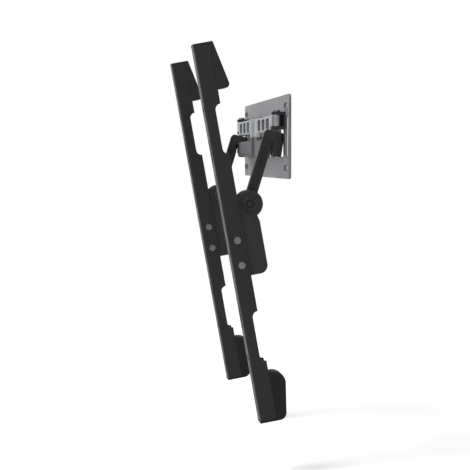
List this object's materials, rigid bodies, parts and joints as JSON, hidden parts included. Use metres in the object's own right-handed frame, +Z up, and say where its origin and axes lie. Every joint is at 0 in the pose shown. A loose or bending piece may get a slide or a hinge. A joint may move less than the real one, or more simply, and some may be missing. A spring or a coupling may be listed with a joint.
{
  "type": "full motion tv wall mount",
  "caption": "Full motion wall mount for a flat screen: slatted wall plate, folding stacked arms, drop arms with tilt pivots and slotted screen rails with end bumpers.",
  "frame": {"origin": "on the wall, at the centre of the wall plate's back face and of its four bolt holes", "axes": "+X along the wall, to the right as seen from the room; +Y into the wall; +Z up"},
  "size_m": [0.484, 0.1136, 0.455],
  "materials": {
    "plate_steel": "satin grey powder coat",
    "arm_alloy": "bead blasted die casting",
    "arm_coat": "satin mid grey powder coat over a casting",
    "black_steel": "fine textured black powder coat",
    "black_alloy": "black coated die casting",
    "black_plastic": "spark textured moulding",
    "black_rubber": "matt moulding",
    "bright_steel": "zinc plated",
    "bush_plastic": "natural acetal"
  },
  "bodies": {
    "wall_side": {"wall_plate": "plate_steel", "wall_hinge_right": "black_steel", "hinge_rivets_right": "bright_steel", "wall_pin_right": "bright_steel", "wall_hinge_left": "black_steel", "hinge_rivets_left": "bright_steel", "wall_pin_left": "bright_steel"},
    "inner_link_right": {"inner_arm_right": "arm_alloy", "wall_bush_right": "bush_plastic", "elbow_pin_right": "bright_steel"},
    "outer_link_right": {"outer_arm_right": "arm_coat", "elbow_bush_right": "bush_plastic", "front_bush_right": "bush_plastic"},
    "drop_link_right": {"drop_arm_right": "black_steel", "front_pin_right": "bright_steel"},
    "screen_side_right": {"tilt_bracket_right": "black_alloy", "tilt_axle_right": "bright_steel", "tilt_washer_right": "bright_steel", "tilt_knob_right": "black_plastic", "screen_rail_right": "black_steel", "cross_bolts_right": "bright_steel", "top_cap_right": "black_plastic", "wall_bumper_right": "black_rubber"},
    "inner_link_left": {"inner_arm_left": "arm_alloy", "wall_bush_left": "bush_plastic", "elbow_pin_left": "bright_steel"},
    "outer_link_left": {"outer_arm_left": "arm_coat", "elbow_bush_left": "bush_plastic", "front_bush_left": "bush_plastic"},
    "drop_link_left": {"drop_arm_left": "black_steel", "front_pin_left": "bright_steel"},
    "screen_side_left": {"tilt_bracket_left": "black_alloy", "tilt_axle_left": "bright_steel", "tilt_washer_left": "bright_steel", "tilt_knob_left": "black_plastic", "screen_rail_left": "black_steel", "cross_bolts_left": "bright_steel", "top_cap_left": "black_plastic", "wall_bumper_left": "black_rubber"}
  },
  "joints": [
    {"name": "wall_fold_right", "type": "hinge", "parent": "wall_side", "child": "inner_link_right", "pos_m": [0.2, -0.012, 0.016], "axis": [0, 0, 1], "range_deg": [0, 65]},
    {"name": "elbow_fold_right", "type": "hinge", "parent": "inner_link_right", "child": "outer_link_right", "pos_m": [0.02, -0.012, 0.002], "axis": [0, 0, 1], "range_deg": [-130, 0]},
    {"name": "front_turn_right", "type": "hinge", "parent": "outer_link_right", "child": "drop_link_right", "pos_m": [0.2, -0.012, -0.012], "axis": [0, 0, 1], "range_deg": [-30, 75]},
    {"name": "tilt_right", "type": "hinge", "parent": "drop_link_right", "child": "screen_side_right", "pos_m": [0.2, -0.04619, -0.07966], "axis": [1, 0, 0], "range_deg": [-10, 5]},
    {"name": "wall_fold_left", "type": "hinge", "parent": "wall_side", "child": "inner_link_left", "pos_m": [-0.2, -0.012, 0.016], "axis": [0, 0, -1], "range_deg": [0, 65]},
    {"name": "elbow_fold_left", "type": "hinge", "parent": "inner_link_left", "child": "outer_link_left", "pos_m": [-0.02, -0.012, 0.002], "axis": [0, 0, -1], "range_deg": [-130, 0]},
    {"name": "front_turn_left", "type": "hinge", "parent": "outer_link_left", "child": "drop_link_left", "pos_m": [-0.2, -0.012, -0.012], "axis": [0, 0, -1], "range_deg": [-30, 75]},
    {"name": "tilt_left", "type": "hinge", "parent": "drop_link_left", "child": "screen_side_left", "pos_m": [-0.2, -0.04619, -0.07966], "axis": [1, 0, 0], "range_deg": [-10, 5]}
  ],
  "couplings": [
    {"joint": "elbow_fold_right", "follows": "wall_fold_right", "ratio": -2},
    {"joint": "elbow_fold_left", "follows": "wall_fold_left", "ratio": -2}
  ]
}
